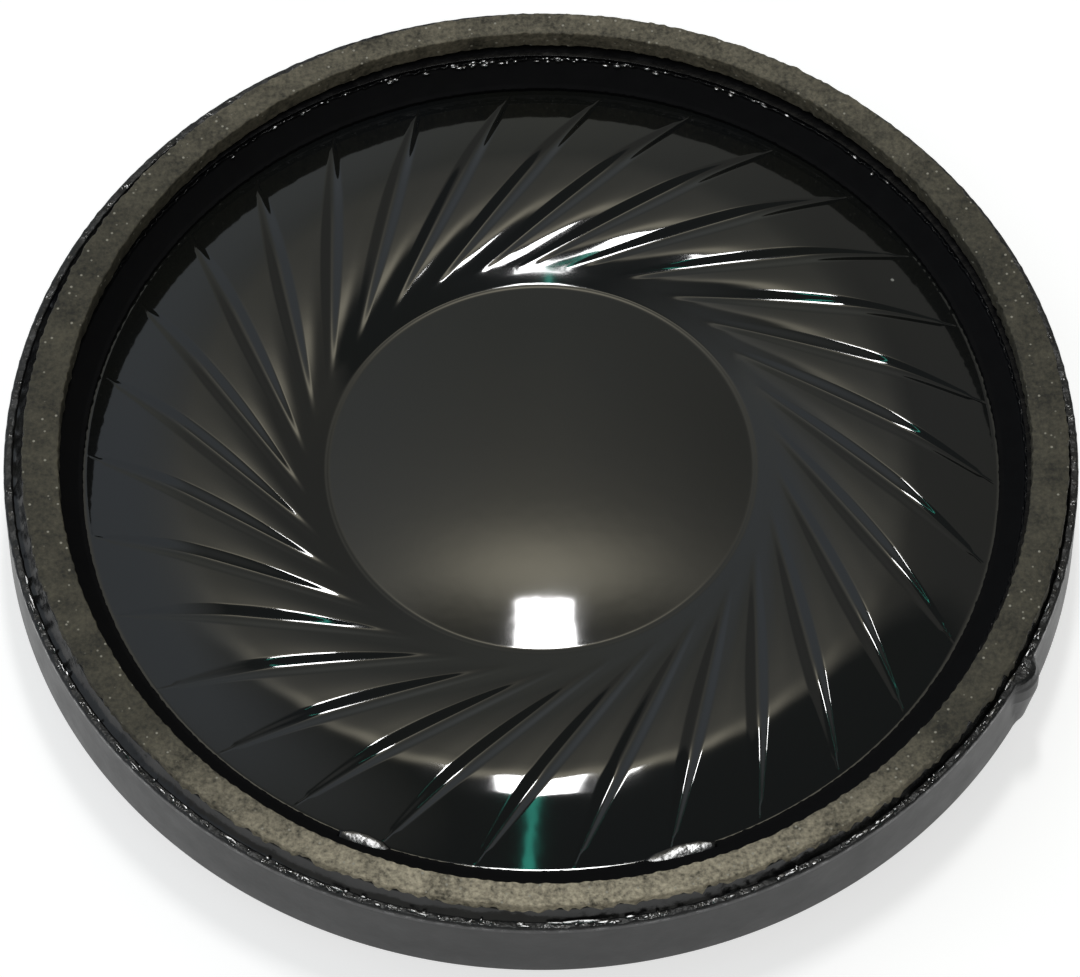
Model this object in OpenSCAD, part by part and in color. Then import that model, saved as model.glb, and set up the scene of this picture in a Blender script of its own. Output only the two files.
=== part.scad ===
// Miniature loudspeaker: a moulded basket and one pressed film that is dome, cone and surround.
// Millimetres. +Z points out of the front, and the origin is the middle of the magnet pot's back.
// Heights build up from the pot's back, and widths build in from the rim and out from the coil.

/* [Basket] */
// Outside diameter of the rim
rim_d = 40; // [38:0.5:48]
// Height of the rim's outer wall, from its underside to the top of the lip
rim_h = 3.2; // [2.8:0.1:3.6]
// Thickness of the wall round the clamp ring
rim_wall = 0.95; // [0.7:0.05:1.4]
// Thickness of the lip round the gasket
lip_w = 0.3; // [0.2:0.05:0.5]
// Height of the lip above the face that the gasket lies on
lip_h = 0.15; // [0.1:0.05:0.4]
// Height of the rear body below the rim's underside
rear_h = 0.7; // [0.5:0.1:1]
// Thickness of the wall between the cavity and the outside of the rear body
rear_wall = 0.9; // [0.7:0.1:1.6]
// Thickness of the floor
floor_t = 0.8; // [0.6:0.1:1.1]
// How much wider the cavity is at the film's ledge than at the floor
cavity_slope = 0.5; // [0.3:0.1:1]
// Width of the bare ledge inside the film's flexing edge
ledge_inset = 0.1; // [0.05:0.05:0.4]
// Wall of the collar that holds the magnet pot
collar_w = 0.95; // [0.7:0.05:1.3]
// Height of the collar above the floor
collar_h = 0.8; // [0.4:0.1:1.1]
// Width of the flat that breaks the rim's sharp edges
edge_break = 0.08; // [0.04:0.02:0.15]

/* [Key lug] */
// Direction of the lug that turns the speaker one way round, from +X
lug_angle = -27.5; // [-60:0.5:0]
// Diameter of the lug
lug_d = 2; // [1.4:0.1:2.6]
// How far the lug stands out of the rim
lug_proud = 0.48; // [0.2:0.02:0.6]
// Height of the lug's straight part, below the lip
lug_straight_h = 1.1; // [0.6:0.1:1.8]
// Diameter of the lug at the rim's underside
lug_foot_d = 1.2; // [1:0.1:1.4]

/* [Vents] */
// Diameter of each vent in the floor
vent_d = 2.2; // [1.4:0.1:3]
// Places round the floor; the one behind the terminals stays closed
vent_places = 9; // [7:1:12]
// Width of the mesh ring over the vents
mesh_w = 3.6; // [3.2:0.1:4.2]
// Thickness of the mesh
mesh_t = 0.15; // [0.1:0.05:0.3]
// Angle that the mesh leaves open for the leads
mesh_open = 48; // [40:1:60]

/* [Clamp ring] */
// Height of the ring from the film to the gasket
clamp_h = 0.89; // [0.7:0.01:1.2]
// Gap between the ring and the wall round it
clamp_gap = 0.05; // [0.02:0.01:0.1]
// Height of the ring's upright inner face
clamp_face_h = 0.15; // [0.05:0.05:0.4]
// Height of the ring's thin foot on the film
clamp_foot_h = 0.15; // [0.1:0.05:0.4]
// Distance from the ring's foot to the film's flexing edge
clamp_foot_gap = 0.1; // [0.05:0.05:0.4]

/* [Gasket] */
// Thickness of the card gasket
gasket_t = 0.85; // [0.5:0.05:1.2]
// Width of the card
gasket_w = 1.35; // [1:0.05:1.7]
// Mean gap between the card and the lip
gasket_gap = 0.25; // [0.2:0.05:0.4]
// How far off centre the card was laid, along X
gasket_off_x = 0.16; // [0:0.01:0.17]
// How far off centre the card was laid, along Y
gasket_off_y = 0.05; // [0:0.01:0.08]
// How far the glue bead climbs the card's edge
bead_h = 0.62; // [0.4:0.02:0.7]

/* [Film] */
// Thickness of the film as modelled
film_t = 0.1; // [0.06:0.01:0.14]
// Distance from the film's rim to the outside of the clamp ring
film_inset = 0.7; // [0.5:0.05:1]
// Width of the flat rim that is clamped
film_edge_w = 1.3; // [0.9:0.1:1.5]
// Height of the crease above the flat rim
crease_rise = 0.2; // [0.15:0.05:0.5]
// Height of the dome above the crease
dome_rise = 0.6; // [0.4:0.05:0.8]
// Height of the roll's crown above the flat rim
roll_rise = 0.85; // [0.55:0.05:0.9]
// Distance from the crease to the roll's crown
roll_in = 5; // [4:0.1:5.6]
// How far the roll's outer flank straightens into a cone: 0 is a plain bow
flank_bend = 0.75; // [0:0.05:0.9]
// Gap left for the glue film where a flat face sits on another
seat_gap = 0.01; // [0.01:0.01:0.03]

/* [Grooves] */
// Number of pressed grooves
groove_n = 30; // [24:1:36]
// Width of a groove at its widest
groove_w = 0.9; // [0.4:0.02:1]
// Width of a groove's ends, as a share of its widest
groove_taper = 0.4; // [0.2:0.05:1]
// Depth of a groove at its deepest
groove_depth = 0.14; // [0.1:0.02:0.26]
// Distance from the crease, or a wider tangent circle, to the inner end of a groove
groove_start = 0.8; // [0.6:0.1:1.6]
// Distance from the outer end of a groove to the film's flexing edge
groove_end = 0.7; // [0.4:0.1:1.5]
// Diameter of the circle that the straight grooves are tangent to
groove_tangent_d = 15.8; // [12:0.1:16]
// Direction of the outer end of the first groove, from +X
groove_phase = 11.1; // [0:0.1:12]

/* [Voice coil] */
// Mean diameter of the winding, which is also the diameter of the film's crease
coil_d = 16; // [15:0.25:17]
// Thickness of the winding
coil_w = 0.44; // [0.3:0.02:0.6]
// Height of the winding
coil_h = 1.7; // [1.2:0.05:1.9]
// Thickness of the glue between the winding and the crease
coil_glue_t = 0.15; // [0.08:0.01:0.2]
// Width of the glue on each side of the winding
coil_glue_lap = 0.06; // [0.02:0.01:0.12]
// Diameter of the lead wires
lead_d = 0.12; // [0.08:0.01:0.16]

/* [Magnet system] */
// Thickness of the pot's floor
pot_floor_t = 0.8; // [0.7:0.05:1.1]
// Thickness of the pot's wall
pot_wall = 0.98; // [0.7:0.02:1.2]
// Thickness of the magnet
magnet_t = 1.5; // [1.4:0.05:2.2]
// Thickness of the pole plate
plate_t = 0.8; // [0.7:0.05:1.1]
// Thickness of each glue layer under and over the magnet
bond_t = 0.05; // [0.03:0.01:0.1]
// How far the glue layers end inside the magnet's edge
bond_inset = 0.2; // [0.1:0.05:0.5]
// Air gap between the pole plate and the winding
gap_inner = 0.18; // [0.12:0.01:0.3]
// Air gap between the winding and the pot
gap_outer = 0.2; // [0.12:0.01:0.3]
// How far the magnet's edge lies inside the pole plate's
magnet_inset = 0.35; // [0.1:0.05:0.8]
// Free height between the pole plate and the film's crease
plate_gap = 0.75; // [0.7:0.05:1.05]
// Width of the chamfer on the pot's back edge
pot_chamfer = 0.2; // [0.1:0.05:0.4]
// Diameter of the stamping mark in the pot's back
pot_mark_d = 2.4; // [1:0.1:4]
// Depth of the stamping mark
pot_mark_h = 0.15; // [0.05:0.05:0.3]
// Gap between the pot and the collar
pot_gap = 0.05; // [0.02:0.01:0.1]
// Size of the glue fillet between the pot and the collar
pot_fillet = 0.35; // [0.2:0.05:0.5]

/* [Terminals] */
// Thickness of the terminal board
board_t = 0.4; // [0.3:0.05:0.5]
// Width of the board from its inner to its outer edge
board_w = 4.6; // [4.2:0.1:5]
// Distance from the board's outer edge to the outside of the rear body
board_inset = 0.7; // [0.5:0.1:1]
// Angle that the board spans
board_span = 44; // [42:1:50]
// Angle between the middle of the board and each pad
pad_angle = 8.5; // [8:0.5:10]
// Width of a pad
pad_w = 2.2; // [1.8:0.1:2.4]
// Length of a pad between the centres of its round ends
pad_l = 1.2; // [1:0.1:1.4]
// Thickness of a pad
pad_t = 0.04; // [0.03:0.01:0.06]
// Thickness of the tin on the half of a pad that is left free for an outside lead
tin_t = 0.02; // [0.01:0.01:0.03]
// Gap between the tin and the solder joint
tin_gap = 0.1; // [0.05:0.05:0.2]
// Diameter of a solder joint
solder_d = 1.7; // [1.4:0.1:1.8]
// Height of a solder joint
solder_h = 0.3; // [0.2:0.02:0.36]
// Diameter of the holes that the leads pass through
lead_hole_d = 0.9; // [0.7:0.1:1]
// Distance from the middle of a lead hole to the board's outer edge
lead_hole_inset = 0.75; // [0.7:0.05:0.8]
// Angle between the middle of the board and each post
post_angle = 17.5; // [17:0.5:19]
// Diameter of a post
post_d = 1; // [0.8:0.1:1.2]
// Diameter of a post's melted head
post_head_d = 1.7; // [1.4:0.1:1.9]
// Height of a post's melted head
post_head_h = 0.28; // [0.2:0.02:0.4]
// Gap between a post and its hole in the board
post_gap = 0.05; // [0.03:0.01:0.1]
// Diameter of the paint dot that marks the positive pad
dot_d = 0.8; // [0.5:0.1:0.9]
// Thickness of the paint dot
dot_t = 0.03; // [0.02:0.01:0.05]

/* [Hidden] */
$fn = 96;

// Radii, from the rim inwards
rim_r = rim_d / 2;
lip_r = rim_r - lip_w;
recess_r = rim_r - rim_wall;
clamp_r = recess_r - clamp_gap;
gasket_r = lip_r - gasket_gap;
gasket_in_r = gasket_r - gasket_w;
film_r = clamp_r - film_inset;
flex_r = film_r - film_edge_w;
clamp_foot_r = flex_r + clamp_foot_gap;
ledge_r = flex_r - ledge_inset;
cavity_r = ledge_r - cavity_slope;
rear_r = cavity_r + rear_wall;

// Radii, from the coil outwards and inwards
crease_r = coil_d / 2;
coil_in_r = crease_r - coil_w / 2;
coil_out_r = crease_r + coil_w / 2;
plate_r = coil_in_r - gap_inner;
magnet_r = plate_r - magnet_inset;
pot_in_r = coil_out_r + gap_outer;
pot_r = pot_in_r + pot_wall;
bore_r = pot_r + pot_gap;
collar_r = bore_r + collar_w;
vent_ring_r = (collar_r + cavity_r) / 2;

// Heights, from the back of the pot
magnet_z = pot_floor_t + bond_t;
plate_z = magnet_z + magnet_t + bond_t;
pot_top_z = plate_z + plate_t;
crease_z = pot_top_z + plate_gap + film_t;
edge_z = crease_z - crease_rise;
ledge_glue_t = 0.04;
ledge_z = edge_z - film_t - seat_gap - ledge_glue_t;
clamp_z = edge_z + seat_gap;
seat_z = clamp_z + clamp_h;
lip_z = seat_z + lip_h;
front_z = seat_z + gasket_t;
under_z = lip_z - rim_h;
rear_z = under_z - rear_h;
floor_z = rear_z + floor_t;
collar_z = floor_z + collar_h;
coil_top_z = crease_z - film_t - coil_glue_t;

// Film: the roll falls from its crown as a parabola inwards and a cubic outwards, and the dome is
// a cap
crown_r = crease_r + roll_in;
crown_z = edge_z + roll_rise;
function arc_radius(chord, rise) = (chord * chord + rise * rise) / (2 * rise);
function drop(radius, x) = radius - sqrt(radius * radius - x * x);
dome_arc = arc_radius(crease_r, dome_rise);
function flank(u) = (1 + flank_bend) * u * u - flank_bend * u * u * u;
function film_z(r) =
    r <= crease_r ? crease_z + dome_rise - drop(dome_arc, r)
    : r <= crown_r ? crown_z - (crown_z - crease_z) * pow((crown_r - r) / roll_in, 2)
    : r <= flex_r ? crown_z - roll_rise * flank((r - crown_r) / (flex_r - crown_r))
    : edge_z;

// Grooves: straight lines tangent to a circle, deepest halfway along. They start outside both
// that circle and the crease
tangent_r = groove_tangent_d / 2;
groove_in_r = max(crease_r, tangent_r) + groove_start;
groove_out_r = flex_r - groove_end;
groove_pitch = 360 / groove_n;
function along(r) = (r - groove_in_r) / (groove_out_r - groove_in_r);
function groove_dip(r) =
    r <= groove_in_r || r >= groove_out_r ? 0 : groove_depth * pow(sin(180 * along(r)), 0.6);
function groove_angle(r) = let (q = max(groove_in_r, min(groove_out_r, r)))
    groove_phase + acos(tangent_r / groove_out_r) - acos(tangent_r / q);
// Half the groove's width as an angle seen from the middle, where the line crosses radius r
function groove_half(r) = let (
    q = max(groove_in_r, min(groove_out_r, r)),
    w = groove_w * (groove_taper + (1 - groove_taper) * sin(180 * along(q))))
    asin(w / 2 / q) / sqrt(1 - pow(tangent_r / q, 2));

// Rings of the film's mesh, counted over each stretch
dome_rings = [for (i = [1:3]) crease_r * i / 4];
flank_rings = [crease_r, (crease_r + groove_in_r) / 2];
groove_steps = 9;
groove_rings = [for (i = [0:groove_steps])
    groove_in_r + (groove_out_r - groove_in_r) * i / groove_steps];
film_rings = concat(dome_rings, flank_rings, groove_rings, [flex_r, film_r]);
film_ring_n = len(film_rings);
columns = 4;
column_n = groove_n * columns;

// Terminals, behind the floor and about the +Y direction
terminal_angle = 90;
board_r = rear_r - board_inset;
board_in_r = board_r - board_w;
board_z = rear_z - board_t;
pad_z = board_z - pad_t;
lead_hole_r = board_r - lead_hole_inset;
solder_r = lead_hole_r - lead_hole_d / 2 - solder_d / 2 - 0.1;
pad_mid_r = solder_r - pad_l / 2;
post_r = (board_r + board_in_r) / 2;

// Lead wire's route in its own upright plane: distance from the axis, height
lead_gap = 0.03;
lead_path = [
    [coil_out_r + lead_gap + lead_d / 2, coil_top_z - 0.3],
    [coil_out_r + 0.5, coil_top_z - 0.22],
    [pot_r, pot_top_z + 0.34],
    [collar_r + 0.6, pot_top_z + 0.1],
    [(collar_r + lead_hole_r) / 2, floor_z + 0.9],
    [lead_hole_r - 0.5, floor_z + 0.75],
    [lead_hole_r, floor_z + 0.3],
    [lead_hole_r, rear_z],
    [lead_hole_r, board_z - 0.05],
    [lead_hole_r - 0.3, pad_z - lead_d / 2 - 0.02],
    [solder_r, pad_z - lead_d / 2]];
lead_samples = 4;
lead_sides = 6;

module ring(outer_r, inner_r, z0, z1) {
    translate([0, 0, z0]) difference() {
        cylinder(r = outer_r, h = z1 - z0);
        translate([0, 0, -1]) cylinder(r = inner_r, h = z1 - z0 + 2);
    }
}

// A ring's sector, centred on the given direction
module sector(outer_r, inner_r, z0, z1, middle, span) {
    rotate([0, 0, middle - span / 2]) rotate_extrude(angle = span)
        translate([inner_r, z0]) square([outer_r - inner_r, z1 - z0]);
}

module at_angle(angle, r, z) {
    rotate([0, 0, angle]) translate([r, 0, z]) children();
}

module basket_section() {
    polygon([
        [bore_r, rear_z], [rear_r - edge_break, rear_z], [rear_r, rear_z + edge_break],
        [rear_r, under_z], [rim_r - edge_break, under_z], [rim_r, under_z + edge_break],
        [rim_r, lip_z - edge_break], [rim_r - edge_break, lip_z], [lip_r, lip_z],
        [lip_r, seat_z], [recess_r, seat_z], [recess_r, ledge_z], [ledge_r, ledge_z],
        [cavity_r, floor_z], [collar_r, floor_z], [collar_r, collar_z], [bore_r, collar_z]]);
}

// The lug stops short of the lip, so that it never reaches the glue bead
module lug() {
    mid_r = rim_r + lug_proud - lug_d / 2;
    cone_h = rim_h - lug_straight_h;
    difference() {
        at_angle(lug_angle, mid_r, under_z) {
            translate([0, 0, cone_h]) cylinder(d = lug_d, h = lug_straight_h);
            cylinder(d1 = lug_foot_d, d2 = lug_d, h = cone_h);
        }
        translate([0, 0, under_z - 1]) cylinder(r = rim_r - lip_w / 2, h = rim_h + 2);
    }
}

// A post with a melted head, below the rear face, for the hole in the board
module post() {
    translate([0, 0, board_z]) cylinder(d = post_d, h = board_t + seat_gap);
    translate([0, 0, board_z - post_head_h])
        cylinder(d1 = post_d, d2 = post_head_d, h = post_head_h);
}

module basket() {
    color([0.13, 0.13, 0.14]) union() {
        difference() {
            rotate_extrude() basket_section();
            for (i = [1:vent_places - 1])
                at_angle(terminal_angle + i * 360 / vent_places, vent_ring_r, rear_z - 1)
                    cylinder(d = vent_d, h = floor_t + 2);
            for (side = [-1, 1])
                at_angle(terminal_angle + side * pad_angle, lead_hole_r, rear_z - 1)
                    cylinder(d = lead_hole_d, h = floor_t + 2);
        }
        lug();
        for (side = [-1, 1])
            at_angle(terminal_angle + side * post_angle, post_r, 0) post();
    }
}

module clamp_ring() {
    color([0.05, 0.05, 0.06]) rotate_extrude() polygon([
        [clamp_foot_r, clamp_z], [clamp_r, clamp_z], [clamp_r, seat_z],
        [gasket_in_r, seat_z], [gasket_in_r, seat_z - clamp_face_h],
        [clamp_foot_r, clamp_z + clamp_foot_h]]);
}

module front_gasket() {
    color([0.24, 0.23, 0.2]) translate([gasket_off_x, gasket_off_y, 0])
        ring(gasket_r, gasket_in_r, seat_z, front_z);
}

// The bead fills the gap at the lip and climbs the card's edge
module gasket_adhesive() {
    color([0.03, 0.03, 0.04]) difference() {
        rotate_extrude() polygon([
            [gasket_in_r + gasket_w / 2, seat_z], [lip_r, seat_z],
            [lip_r, seat_z + lip_h / 3], [gasket_r - gasket_gap, seat_z + bead_h],
            [gasket_in_r + gasket_w / 2, seat_z + bead_h]]);
        translate([gasket_off_x, gasket_off_y, seat_z - 1]) cylinder(r = gasket_r, h = gasket_t + 2);
    }
}

// One face of the film: its point on ring i and column j, lowered by down
function film_point(i, j, down) =
    let (r = film_rings[i], part = j % columns, half = groove_half(r),
         turn = part == 0 ? 0 : part == 1 ? half : part == 2 ? groove_pitch / 2 : groove_pitch - half,
         angle = groove_angle(r) + groove_pitch * floor(j / columns) + turn)
    [r * cos(angle), r * sin(angle), film_z(r) - down - (part == 0 ? groove_dip(r) : 0)];

module diaphragm() {
    face_n = film_ring_n * column_n;
    points = concat(
        [for (i = [0:film_ring_n - 1], j = [0:column_n - 1]) film_point(i, j, 0)],
        [for (i = [0:film_ring_n - 1], j = [0:column_n - 1]) film_point(i, j, film_t)],
        [[0, 0, film_z(0)], [0, 0, film_z(0) - film_t]]);
    top_pole = 2 * face_n;
    function at(i, j) = i * column_n + j % column_n;
    faces = concat(
        [for (i = [0:film_ring_n - 2], j = [0:column_n - 1], f = [
            [at(i, j), at(i, j + 1), at(i + 1, j + 1)], [at(i, j), at(i + 1, j + 1), at(i + 1, j)],
            [face_n + at(i, j), face_n + at(i + 1, j + 1), face_n + at(i, j + 1)],
            [face_n + at(i, j), face_n + at(i + 1, j), face_n + at(i + 1, j + 1)]]) f],
        [for (j = [0:column_n - 1], last = film_ring_n - 1, f = [
            [at(last, j), at(last, j + 1), face_n + at(last, j + 1)],
            [at(last, j), face_n + at(last, j + 1), face_n + at(last, j)],
            [top_pole, at(0, j + 1), at(0, j)],
            [top_pole + 1, face_n + at(0, j), face_n + at(0, j + 1)]]) f]);
    color([0.17, 0.17, 0.19]) polyhedron(points, faces);
}

module diaphragm_adhesive() {
    color([0.06, 0.06, 0.06]) ring(film_r, ledge_r + ledge_inset, ledge_z, ledge_z + ledge_glue_t);
}

// A ring of glue whose top fits the underside of the crease
module coil_adhesive() {
    lap_r = coil_w / 2 + coil_glue_lap;
    function under(r) = film_z(r) - film_t - seat_gap;
    color([0.75, 0.6, 0.25]) rotate_extrude() polygon([
        [crease_r - lap_r, coil_top_z], [crease_r + lap_r, coil_top_z],
        [crease_r + lap_r, under(crease_r + lap_r)], [crease_r, under(crease_r)],
        [crease_r - lap_r, under(crease_r - lap_r)]]);
}

module voice_coil() {
    color([0.72, 0.36, 0.18]) ring(coil_out_r, coil_in_r, coil_top_z - coil_h, coil_top_z);
}

// A smooth curve through the points p, by Catmull and Rom's rule
function spline(p, k, u) =
    let (a = p[max(k - 1, 0)], b = p[k], c = p[k + 1], d = p[min(k + 2, len(p) - 1)])
    0.5 * (2 * b + (c - a) * u + (2 * a - 5 * b + 4 * c - d) * u * u
           + (3 * b - a - 3 * c + d) * u * u * u);
function smooth_path(p, n) = concat(
    [for (k = [0:len(p) - 2], i = [0:n - 1]) spline(p, k, i / n)], [p[len(p) - 1]]);

// A tube along a path that lies in the XZ plane
module flat_tube(path, d, sides) {
    last = len(path) - 1;
    function heading(i) = let (v = path[min(i + 1, last)] - path[max(i - 1, 0)]) v / norm(v);
    points = [for (i = [0:last], s = [0:sides - 1])
        let (t = heading(i), c = cos(360 * s / sides) * d / 2, e = sin(360 * s / sides) * d / 2)
        [path[i][0] - t[1] * c, e, path[i][1] + t[0] * c]];
    faces = concat(
        [for (i = [0:last - 1], s = [0:sides - 1], f = let (n = (s + 1) % sides) [
            [i * sides + s, i * sides + n, (i + 1) * sides + n],
            [i * sides + s, (i + 1) * sides + n, (i + 1) * sides + s]]) f],
        [[for (s = [sides - 1:-1:0]) s]], [[for (s = [0:sides - 1]) last * sides + s]]);
    polyhedron(points, faces);
}

module lead_wire(side) {
    color([0.72, 0.36, 0.18]) rotate([0, 0, terminal_angle + side * pad_angle])
        flat_tube(smooth_path(lead_path, lead_samples), lead_d, lead_sides);
}
module lead_wire_positive() { lead_wire(1); }
module lead_wire_negative() { lead_wire(-1); }

// A plug of glue in each lead hole, with a low cone on the floor that stops at the cavity's wall
module lead_sealant() {
    hole_r = lead_hole_d / 2;
    cone_r = max(hole_r, min(2 * hole_r, cavity_r - lead_hole_r - seat_gap));
    color([0.08, 0.08, 0.08]) for (side = [-1, 1])
        at_angle(terminal_angle + side * pad_angle, lead_hole_r, 0) {
            translate([0, 0, rear_z]) cylinder(r = hole_r, h = floor_t);
            translate([0, 0, floor_z]) cylinder(r1 = cone_r, r2 = hole_r / 2, h = hole_r);
        }
}

module magnet_pot() {
    color([0.62, 0.63, 0.65]) rotate_extrude() polygon([
        [0, pot_mark_h], [pot_mark_d / 2 - pot_mark_h, pot_mark_h], [pot_mark_d / 2, 0],
        [pot_r - pot_chamfer, 0], [pot_r, pot_chamfer], [pot_r, pot_top_z],
        [pot_in_r, pot_top_z], [pot_in_r, pot_floor_t], [0, pot_floor_t]]);
}

module bond(z) {
    color([0.55, 0.5, 0.38]) translate([0, 0, z]) cylinder(r = magnet_r - bond_inset, h = bond_t);
}
module magnet_bond() { bond(pot_floor_t); }
module plate_bond() { bond(plate_z - bond_t); }

module magnet() {
    color([0.7, 0.7, 0.72]) translate([0, 0, magnet_z]) cylinder(r = magnet_r, h = magnet_t);
}

module pole_plate() {
    color([0.64, 0.65, 0.67]) translate([0, 0, plate_z]) cylinder(r = plate_r, h = plate_t);
}

// A fillet of glue in the corner between the collar's top and the pot's wall
module pot_adhesive() {
    fillet_h = min(pot_fillet, pot_top_z - collar_z);
    color([0.1, 0.09, 0.08]) rotate_extrude() polygon([
        [pot_r, collar_z], [bore_r + min(pot_fillet, collar_w), collar_z], [pot_r, collar_z + fillet_h]]);
}

module vent_mesh() {
    color([0.2, 0.2, 0.2])
        sector(vent_ring_r + mesh_w / 2, vent_ring_r - mesh_w / 2, floor_z, floor_z + mesh_t,
               terminal_angle + 180, 360 - mesh_open);
}

module terminal_board() {
    color([0.42, 0.3, 0.16]) difference() {
        sector(board_r, board_in_r, board_z, rear_z, terminal_angle, board_span);
        for (side = [-1, 1]) {
            at_angle(terminal_angle + side * pad_angle, lead_hole_r, board_z - 1)
                cylinder(d = lead_hole_d, h = board_t + 2);
            at_angle(terminal_angle + side * post_angle, post_r, board_z - 1)
                cylinder(d = post_d + 2 * post_gap, h = board_t + 2);
        }
    }
}

// A flat plate with round ends, below the board's back
module pad_plate(h) {
    translate([0, 0, board_z - h]) {
        for (end = [-1, 1]) translate([end * pad_l / 2, 0, 0]) cylinder(d = pad_w, h = h);
        translate([-pad_l / 2, -pad_w / 2, 0]) cube([pad_l, pad_w, h]);
    }
}

// Copper foil, tinned a little thicker from its inner end to just before the solder joint
module pad(side) {
    tin_end = pad_l / 2 - solder_d / 2 - tin_gap;
    color([0.85, 0.7, 0.4]) at_angle(terminal_angle + side * pad_angle, pad_mid_r, 0) union() {
        pad_plate(pad_t);
        difference() {
            pad_plate(pad_t + tin_t);
            translate([tin_end, -pad_w, 0]) cube([pad_l + pad_w, 2 * pad_w, board_z - pad_t / 2]);
        }
    }
}
module pad_positive() { pad(1); }
module pad_negative() { pad(-1); }

// A low dome of solder: an arc turned about its own upright axis
module solder(side) {
    arc = arc_radius(solder_d / 2, solder_h);
    steps = 6;
    color([0.75, 0.75, 0.76]) at_angle(terminal_angle + side * pad_angle, solder_r, pad_z)
        rotate_extrude() polygon(concat([[0, 0]], [for (i = [steps:-1:0])
            let (x = solder_d / 2 * i / steps) [x, -solder_h + drop(arc, x)]]));
}
module solder_positive() { solder(1); }
module solder_negative() { solder(-1); }

module polarity_mark() {
    color([0.75, 0.08, 0.06])
        at_angle(terminal_angle + post_angle, board_in_r + dot_d, board_z - dot_t)
            cylinder(d = dot_d, h = dot_t);
}

basket();
clamp_ring();
front_gasket();
gasket_adhesive();
diaphragm();
diaphragm_adhesive();
coil_adhesive();
voice_coil();
lead_wire_positive();
lead_wire_negative();
lead_sealant();
magnet_pot();
magnet_bond();
magnet();
plate_bond();
pole_plate();
pot_adhesive();
vent_mesh();
terminal_board();
pad_positive();
pad_negative();
solder_positive();
solder_negative();
polarity_mark();
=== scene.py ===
# %% [markdown]
# # A miniature loudspeaker, dressed over its CAD frame
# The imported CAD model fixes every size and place. This script loads it, puts a camera and a
# softbox where the photograph had them, and then gives each piece the form and finish that a
# hand would notice: the glossy pressed film, the fibrous card gasket, the moulded basket with
# its glue, and the metal and copper at the back. Lengths are written in millimetres and turned
# into metres where a mesh is made.

# %% Load the frame
import math

import bpy
import numpy as np
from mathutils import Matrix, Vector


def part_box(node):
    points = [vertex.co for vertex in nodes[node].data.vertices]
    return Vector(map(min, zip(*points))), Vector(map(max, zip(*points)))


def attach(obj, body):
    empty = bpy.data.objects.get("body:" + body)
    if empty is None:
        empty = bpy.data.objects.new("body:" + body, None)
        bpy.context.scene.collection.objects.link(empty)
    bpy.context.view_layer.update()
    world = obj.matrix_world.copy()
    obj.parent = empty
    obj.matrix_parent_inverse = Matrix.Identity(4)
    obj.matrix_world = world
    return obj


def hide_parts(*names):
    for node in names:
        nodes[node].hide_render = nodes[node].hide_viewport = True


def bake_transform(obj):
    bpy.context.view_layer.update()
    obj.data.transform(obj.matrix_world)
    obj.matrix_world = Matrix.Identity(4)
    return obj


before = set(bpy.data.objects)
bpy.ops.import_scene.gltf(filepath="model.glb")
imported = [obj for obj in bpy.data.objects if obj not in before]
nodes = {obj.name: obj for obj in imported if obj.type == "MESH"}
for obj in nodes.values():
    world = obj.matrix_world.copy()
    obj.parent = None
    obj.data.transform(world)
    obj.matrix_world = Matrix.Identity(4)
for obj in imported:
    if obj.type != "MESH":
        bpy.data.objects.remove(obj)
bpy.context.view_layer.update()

MM = 0.001

# %% [markdown]
# ## The camera
# The rim's near and far halves look almost alike, so the photograph was taken from far away
# with a long lens. The middle of the gasket's face lies at a known pixel, and aiming the camera
# a little below that point frames the speaker without any lens shift.

# %% Camera
PHOTO_W = 1080
PHOTO_H = 977
SENSOR = 36
FOCAL_PX = 8000
FACE_PX = (541, 445.3)
DISTANCE = 297.2
ELEVATION = math.radians(58.7)
CLIP_START = 0.01

face_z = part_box("front_gasket")[1].z
px_per_m = FOCAL_PX / (DISTANCE * MM)
back = np.array([0, -math.cos(ELEVATION), math.sin(ELEVATION)])
up = np.array([0, math.sin(ELEVATION), math.cos(ELEVATION)])
right = np.array([1, 0, 0])
aim = (np.array([0, 0, face_z]) - right * (FACE_PX[0] - PHOTO_W / 2) / px_per_m
       + up * (FACE_PX[1] - PHOTO_H / 2) / px_per_m)

camera = bpy.data.objects.new("camera", bpy.data.cameras.new("camera"))
camera.data.sensor_width = SENSOR
camera.data.lens = FOCAL_PX / PHOTO_W * SENSOR
camera.data.clip_start = CLIP_START
camera.location = aim + back * DISTANCE * MM
camera.rotation_euler = (math.pi / 2 - ELEVATION, 0, 0)
bpy.context.scene.collection.objects.link(camera)
bpy.context.scene.camera = camera
print("lens in mm:", round(camera.data.lens, 1), "aim in mm:", np.round(aim / MM, 2))

# %% [markdown]
# ## Shader maths as Python
# A node tree is easier to read as an expression. `Field` wraps one output socket, arithmetic on
# it adds Math nodes, and `node` adds any other node. Coordinates are in metres, so a noise or
# cell scale counts features in a metre: at 1000 a grain is about a millimetre wide. A ramp whose
# first limit is the higher one falls instead of rising.

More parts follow.
